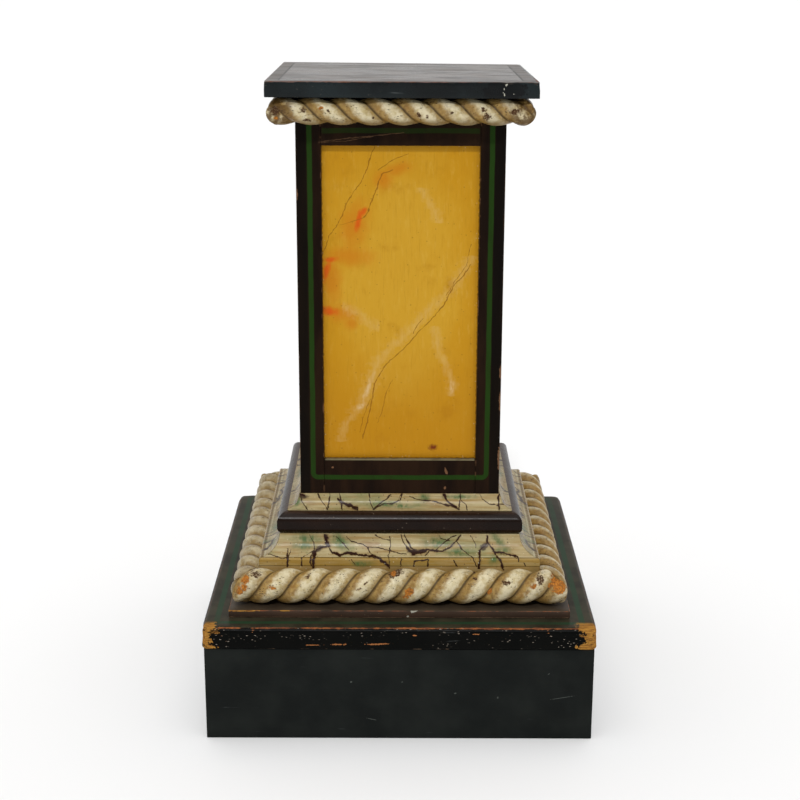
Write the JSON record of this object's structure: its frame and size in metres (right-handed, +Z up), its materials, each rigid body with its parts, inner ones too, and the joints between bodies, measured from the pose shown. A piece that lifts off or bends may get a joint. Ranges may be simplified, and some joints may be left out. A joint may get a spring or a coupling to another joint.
{
  "type": "pedestal stand",
  "caption": "Square painted wooden pedestal: hollow framed-panel shaft with marbled panels, coved and rope mouldings, a flat top slab and a stepped box plinth.",
  "frame": {"origin": "on the ground, under the middle of the plinth", "axes": "+Z up, the front face of the shaft looks along -Y, +X to the right of the front"},
  "size_m": [0.516, 0.516, 0.85],
  "materials": {
    "black_paint": "old black paint over wood, satin, with chips and worn edges",
    "brown_black_paint": "brown-black paint with a painted green line, satin",
    "yellow_marbling": "yellow marbled paint with thin brown veins, varnished",
    "cream_marbling": "cream and green marbled paint with dark veins, varnished",
    "aubergine_paint": "dark aubergine-brown gloss paint",
    "cream_paint": "cream paint over gesso, ochre in the grooves, chipped to bare wood"
  },
  "bodies": {
    "root": {"back_bottom_rail": "brown_black_paint", "back_panel": "yellow_marbling", "back_stile_left": "brown_black_paint", "back_stile_right": "brown_black_paint", "back_top_rail": "brown_black_paint", "front_bottom_rail": "brown_black_paint", "front_panel": "yellow_marbling", "front_stile_left": "brown_black_paint", "front_stile_right": "brown_black_paint", "front_top_rail": "brown_black_paint", "left_bottom_rail": "brown_black_paint", "left_panel": "yellow_marbling", "left_stile_left": "brown_black_paint", "left_stile_right": "brown_black_paint", "left_top_rail": "brown_black_paint", "lower_cove_back": "cream_marbling", "lower_cove_front": "cream_marbling", "lower_cove_left": "cream_marbling", "lower_cove_right": "cream_marbling", "lower_rope_back": "cream_paint", "lower_rope_front": "cream_paint", "lower_rope_left": "cream_paint", "lower_rope_right": "cream_paint", "plinth_cap": "black_paint", "plinth_wall_back": "black_paint", "plinth_wall_front": "black_paint", "plinth_wall_left": "black_paint", "plinth_wall_right": "black_paint", "right_bottom_rail": "brown_black_paint", "right_panel": "yellow_marbling", "right_stile_left": "brown_black_paint", "right_stile_right": "brown_black_paint", "right_top_rail": "brown_black_paint", "step_board": "black_paint", "top_slab": "black_paint", "torus_back": "aubergine_paint", "torus_front": "aubergine_paint", "torus_left": "aubergine_paint", "torus_right": "aubergine_paint", "upper_cove_back": "cream_marbling", "upper_cove_front": "cream_marbling", "upper_cove_left": "cream_marbling", "upper_cove_right": "cream_marbling", "upper_rope_back": "cream_paint", "upper_rope_front": "cream_paint", "upper_rope_left": "cream_paint", "upper_rope_right": "cream_paint"}
  },
  "joints": []
}
